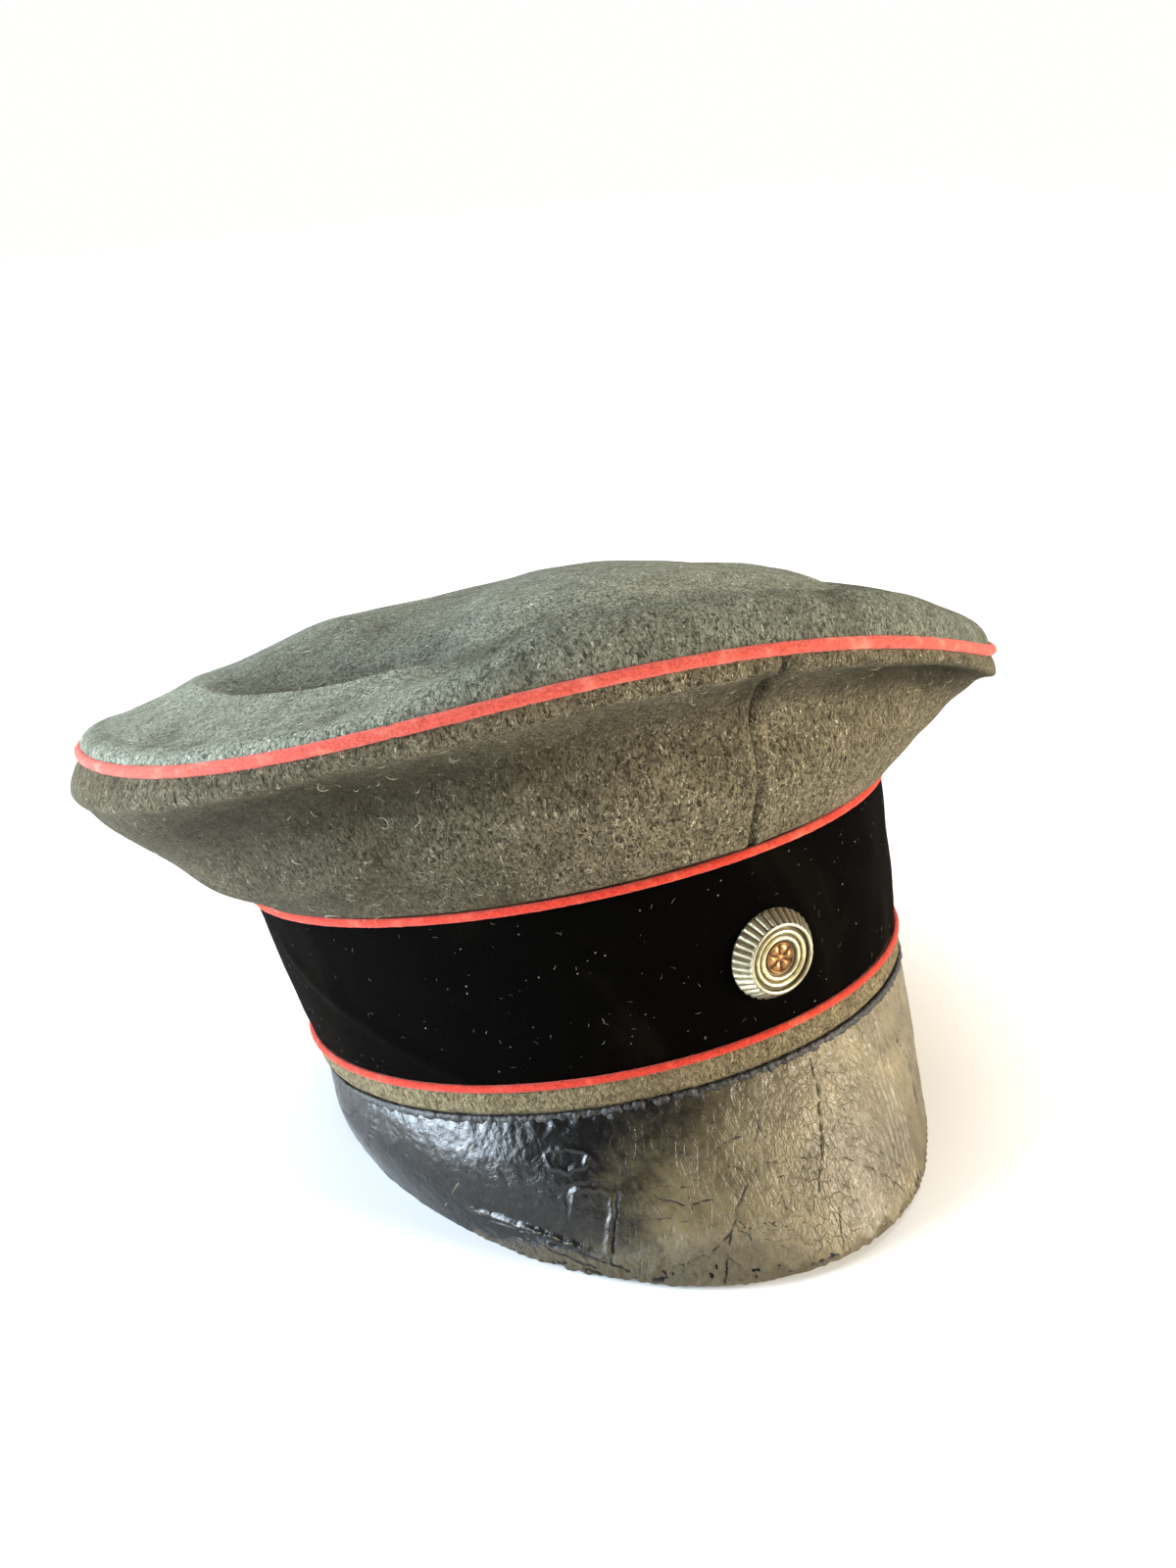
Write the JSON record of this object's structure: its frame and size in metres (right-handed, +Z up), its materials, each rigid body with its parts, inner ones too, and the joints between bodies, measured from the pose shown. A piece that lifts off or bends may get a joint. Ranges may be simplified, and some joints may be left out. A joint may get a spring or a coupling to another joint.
{
  "type": "military peaked cap",
  "caption": "Soft-crowned cloth peaked cap with a wire-hooped top, piped seams, velvet band, short steep leather visor and a round metal cockade that turns on its prongs.",
  "frame": {"origin": "centre of the head opening, in the plane of the band's lower edge", "axes": "+Z up through the crown, -Y to the front (visor and cockade), +X to the wearer's left"},
  "size_m": [0.265, 0.2566, 0.1688],
  "materials": {
    "melton_wool": "heathered grey-green melton",
    "coral_piping": "faded coral felt cord",
    "red_piping": "orange-red felt cord",
    "black_velvet": "cotton velvet, short pile",
    "welt_wool": "grey-olive wool",
    "buckram_board": "stiffened buckram",
    "canvas": "unbleached hair canvas",
    "cotton_wadding": "loose cotton",
    "spring_steel": "drawn wire and strip",
    "brass_ferrule": "plain tube",
    "satin_lining": "worn olive-brown satin",
    "celluloid": "yellowed clear sheet",
    "sweat_leather": "tan sheepskin, worn",
    "reed_binding": "dark bound cord",
    "sewing_thread": "waxed linen thread",
    "lacquered_leather": "old cracked black lacquer",
    "leather_board": "pressed fibre",
    "underside_leather": "dark dyed leather",
    "silvered_metal": "tarnished silver plate",
    "tarnished_brass": "dull, dirty",
    "plain_steel": "stamped sheet",
    "plain_brass": "bent wire"
  },
  "bodies": {
    "cap": {"band_lower_piping": "red_piping", "band_stiffener": "buckram_board", "band_upper_piping": "red_piping", "band_velvet": "black_velvet", "band_welt": "welt_wool", "crown_front_stay": "spring_steel", "crown_hoop_ferrule": "brass_ferrule", "crown_hoop_wire": "spring_steel", "crown_rim_wadding": "cotton_wadding", "crown_seam_piping": "coral_piping", "crown_side_interlining": "canvas", "crown_side_lining": "satin_lining", "crown_side_panel_left": "melton_wool", "crown_side_panel_right": "melton_wool", "crown_top_interlining": "canvas", "crown_top_lining": "satin_lining", "crown_top_panel": "melton_wool", "lining_sweat_shield": "celluloid", "sweatband": "sweat_leather", "sweatband_back_tab": "sweat_leather", "sweatband_reed": "reed_binding", "sweatband_stitches": "sewing_thread", "visor_core": "leather_board", "visor_top_leather": "lacquered_leather", "visor_underside": "underside_leather"},
    "cockade": {"cockade_rim": "silvered_metal", "cockade_face": "silvered_metal", "cockade_centre": "tarnished_brass", "cockade_back_plate": "plain_steel", "cockade_prongs": "plain_brass", "cockade_washer": "plain_steel"}
  },
  "joints": [
    {"name": "cockade_turn", "type": "hinge", "parent": "cap", "child": "cockade", "pos_m": [0, -0.09938, 0.03], "axis": [0, -0.9913, -0.1316], "continuous": true}
  ]
}
